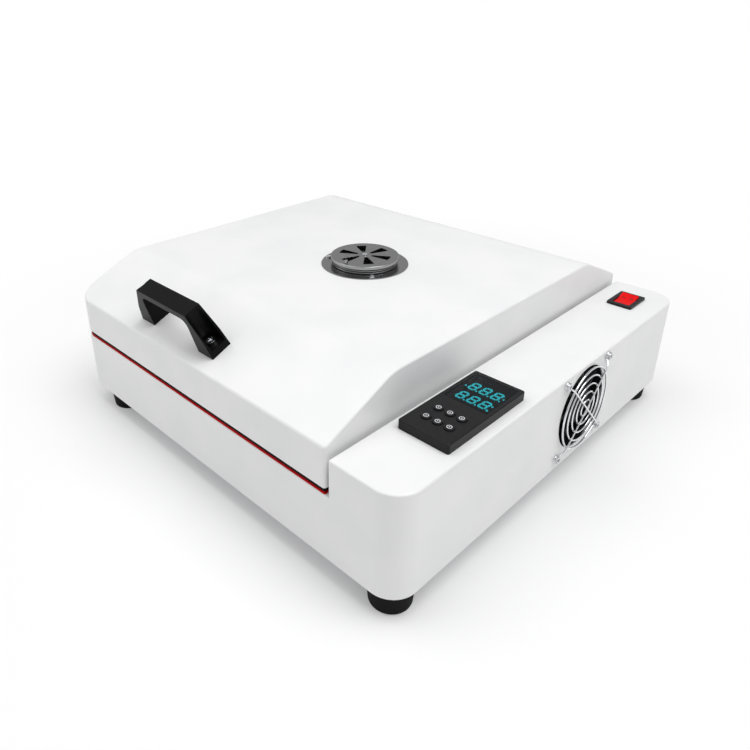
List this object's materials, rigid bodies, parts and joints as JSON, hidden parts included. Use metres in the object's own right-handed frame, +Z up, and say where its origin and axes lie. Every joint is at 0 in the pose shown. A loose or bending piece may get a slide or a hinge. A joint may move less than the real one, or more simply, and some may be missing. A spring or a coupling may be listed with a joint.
{
  "type": "direct-to-film curing oven",
  "caption": "Table-top film curing oven: shallow heated steel base with a control housing along one side and a sloped, hinged lid with vent and handle.",
  "frame": {"origin": "centre of the bottom of the whole oven's bounding box, on the table", "axes": "+Z up, -Y to the front lip of the lid, +X to the control housing"},
  "size_m": [0.4662, 0.486, 0.1818],
  "materials": {
    "white_paint": "smooth satin white powder coat",
    "zinc_sheet": "zinc-plated sheet, satin",
    "liner_steel": "aluminised steel, satin",
    "screw_steel": "plated steel, bright",
    "vent_steel": "polished stainless steel",
    "guard_chrome": "bright chromed wire",
    "heater_sheath": "dull heat-darkened stainless sheath",
    "black_rubber": "matt black rubber",
    "red_silicone": "satin red silicone",
    "black_plastic": "fine-grained black plastic",
    "handle_plastic": "satin black moulded nylon",
    "fan_plastic": "black plastic",
    "window": "tinted glossy window",
    "digit_light": "glowing cyan digits",
    "board": "dark green board",
    "key_white": "pale plastic",
    "rocker_red": "glossy red plastic",
    "ceramic": "glazed ceramic",
    "wool": "mineral wool",
    "pin_steel": "nickel-plated blades",
    "fuse_glass": "glass tube with metal caps",
    "relay_case": "off-white plastic",
    "sink_aluminium": "extruded aluminium",
    "lead_red": "silicone-covered leads"
  },
  "bodies": {
    "base": {"body_shell": "white_paint", "bottom_plate": "zinc_sheet", "case_screws": "screw_steel", "feet": "black_rubber", "foot_screws": "screw_steel", "chamber_liner": "liner_steel", "base_insulation": "wool", "partition_plate": "zinc_sheet", "gasket": "red_silicone", "heater_front": "heater_sheath", "heater_rear": "heater_sheath", "heater_brackets": "zinc_sheet", "heater_bushings": "ceramic", "film_rack": "guard_chrome", "rack_supports": "zinc_sheet", "temp_probe": "heater_sheath", "controller_bezel": "black_plastic", "display_window": "window", "display_digits": "digit_light", "controller_board": "board", "rocker_bezel": "black_plastic", "fan_frame": "fan_plastic", "fan_guard": "guard_chrome", "fan_screws": "screw_steel", "inlet_body": "black_plastic", "inlet_pins": "pin_steel", "inlet_screws": "screw_steel", "relay": "relay_case", "heatsink": "sink_aluminium", "terminal_block": "ceramic", "inner_wiring": "lead_red", "hinge_base_brackets": "zinc_sheet", "hinge_pins": "screw_steel", "hinge_base_screws": "screw_steel"},
    "lid": {"lid_shell": "white_paint", "lid_liner": "liner_steel", "lid_insulation": "wool", "hinge_lid_leaves": "zinc_sheet", "hinge_leaf_screws": "screw_steel", "handle": "handle_plastic", "handle_screws": "screw_steel", "vent_base": "vent_steel", "vent_sleeve": "liner_steel", "vent_rivet": "screw_steel", "vent_screws": "screw_steel"},
    "vent_cap": {"vent_damper": "vent_steel"},
    "rocker": {"rocker": "rocker_red"},
    "fan_rotor": {"fan_rotor": "fan_plastic"},
    "fuse_carrier": {"fuse_drawer": "black_plastic", "fuse": "fuse_glass"},
    "key_1": {"key_1": "key_white"},
    "key_2": {"key_2": "key_white"},
    "key_3": {"key_3": "key_white"},
    "key_4": {"key_4": "key_white"},
    "key_5": {"key_5": "key_white"},
    "key_6": {"key_6": "key_white"}
  },
  "joints": [
    {"name": "lid_hinge", "type": "hinge", "parent": "base", "child": "lid", "pos_m": [-0.03882, 0.2312, 0.08725], "axis": [-1, 0, 0], "range_deg": [0, 95]},
    {"name": "vent_turn", "type": "hinge", "parent": "lid", "child": "vent_cap", "pos_m": [-0.01458, -0.01552, 0.1705], "axis": [0, 0, 1], "range_deg": [0, 30]},
    {"name": "rocker_tilt", "type": "hinge", "parent": "base", "child": "rocker", "pos_m": [0.19168, 0.17775, 0.1155], "axis": [-1, 0, 0], "range_deg": [0, 20]},
    {"name": "fan_spin", "type": "hinge", "parent": "base", "child": "fan_rotor", "pos_m": [0.21302, 0.02161, 0.07475], "axis": [1, 0, 0], "continuous": true},
    {"name": "fuse_drawer_slide", "type": "slide", "parent": "base", "child": "fuse_carrier", "axis": [0, 1, 0], "range_m": [0, 0.014]},
    {"name": "key_1_press", "type": "slide", "parent": "base", "child": "key_1", "axis": [0, 0, -1], "range_m": [0, 0.0008], "stiffness_N_per_m": 500},
    {"name": "key_2_press", "type": "slide", "parent": "base", "child": "key_2", "axis": [0, 0, -1], "range_m": [0, 0.0008], "stiffness_N_per_m": 500},
    {"name": "key_3_press", "type": "slide", "parent": "base", "child": "key_3", "axis": [0, 0, -1], "range_m": [0, 0.0008], "stiffness_N_per_m": 500},
    {"name": "key_4_press", "type": "slide", "parent": "base", "child": "key_4", "axis": [0, 0, -1], "range_m": [0, 0.0008], "stiffness_N_per_m": 500},
    {"name": "key_5_press", "type": "slide", "parent": "base", "child": "key_5", "axis": [0, 0, -1], "range_m": [0, 0.0008], "stiffness_N_per_m": 500},
    {"name": "key_6_press", "type": "slide", "parent": "base", "child": "key_6", "axis": [0, 0, -1], "range_m": [0, 0.0008], "stiffness_N_per_m": 500}
  ]
}
